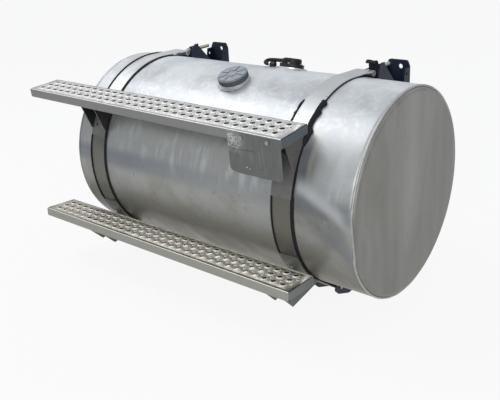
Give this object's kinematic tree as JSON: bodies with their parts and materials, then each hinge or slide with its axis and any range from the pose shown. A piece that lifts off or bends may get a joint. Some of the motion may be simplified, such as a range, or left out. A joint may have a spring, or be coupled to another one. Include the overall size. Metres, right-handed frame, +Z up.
{
  "type": "truck fuel tank",
  "caption": "Round horizontal fuel tank held by straps in J brackets, with perforated grip steps on its front, a screw cap, a level sender and fuel ports.",
  "frame": {"origin": "below the middle of the assembly, on the plane on which the bracket feet stand", "axes": "+X along the tank to its right head, +Y towards the truck's frame rail, +Z up"},
  "size_m": [1.3302, 0.7806, 0.749],
  "materials": {
    "tank_aluminium": "weathered mill finish, cloudy and streaked",
    "head_aluminium": "satin, streaked",
    "fitting_aluminium": "machined, dull",
    "cap_aluminium": "cast, dull",
    "step_aluminium": "scuffed, dirty",
    "plate_aluminium": "dull sheet",
    "strap_steel": "polished stainless, scuffed",
    "dark_steel": "dark weathered paint",
    "bracket_paint": "black paint, dusty",
    "fastener_steel": "dull, a little rust",
    "rubber": "matte",
    "black_plastic": "matte",
    "float_plastic": "matte foam"
  },
  "bodies": {
    "tank": {"tank_shell": "tank_aluminium", "head_left": "head_aluminium", "head_right": "head_aluminium", "baffle_left": "tank_aluminium", "baffle_right": "tank_aluminium", "filler_neck": "fitting_aluminium", "sender_boss": "fitting_aluminium", "sender_gasket": "rubber", "sender_cover": "black_plastic", "sender_screws": "fastener_steel", "sender_stem": "black_plastic", "loom_sleeve": "black_plastic", "loom_plug": "black_plastic", "draw_fitting": "fitting_aluminium", "draw_tube": "tank_aluminium", "return_fitting": "fitting_aluminium", "return_tube": "tank_aluminium", "drain_boss": "fitting_aluminium", "drain_plug": "fastener_steel", "strap_left": "strap_steel", "strap_right": "strap_steel", "strap_liner_left": "rubber", "strap_liner_right": "rubber", "bracket_left": "bracket_paint", "bracket_right": "bracket_paint", "bracket_pad_left": "rubber", "bracket_pad_right": "rubber", "upper_step": "step_aluminium", "lower_step": "step_aluminium", "upper_step_bracket_left": "dark_steel", "upper_step_bracket_right": "dark_steel", "lower_step_bracket_left": "dark_steel", "lower_step_bracket_right": "dark_steel", "upper_studs": "fastener_steel", "lower_studs": "fastener_steel", "front_plate": "plate_aluminium", "plate_screws": "fastener_steel", "strap_bolts": "fastener_steel", "strap_washers": "fastener_steel", "strap_nuts": "fastener_steel", "anchor_pins": "fastener_steel"},
    "seal": {"cap_seal": "rubber"},
    "cap": {"fuel_cap": "cap_aluminium"},
    "float": {"float_arm": "fastener_steel", "sender_float": "float_plastic"}
  },
  "joints": [
    {"name": "cap_lift", "type": "slide", "parent": "tank", "child": "seal", "axis": [0, -0.3404, 0.9403], "range_m": [0, 0.016]},
    {"name": "cap_turn", "type": "hinge", "parent": "seal", "child": "cap", "pos_m": [0.08613, -0.07801, 0.69829], "axis": [0, -0.3404, 0.9403], "range_deg": [0, 900]},
    {"name": "float_swing", "type": "hinge", "parent": "tank", "child": "float", "pos_m": [0.16613, 0.05272, 0.41393], "axis": [0, 0.9613, -0.2756], "range_deg": [0, 122]}
  ],
  "couplings": [
    {"joint": "cap_lift", "follows": "cap_turn", "m_per_rad": 0.00095493}
  ]
}
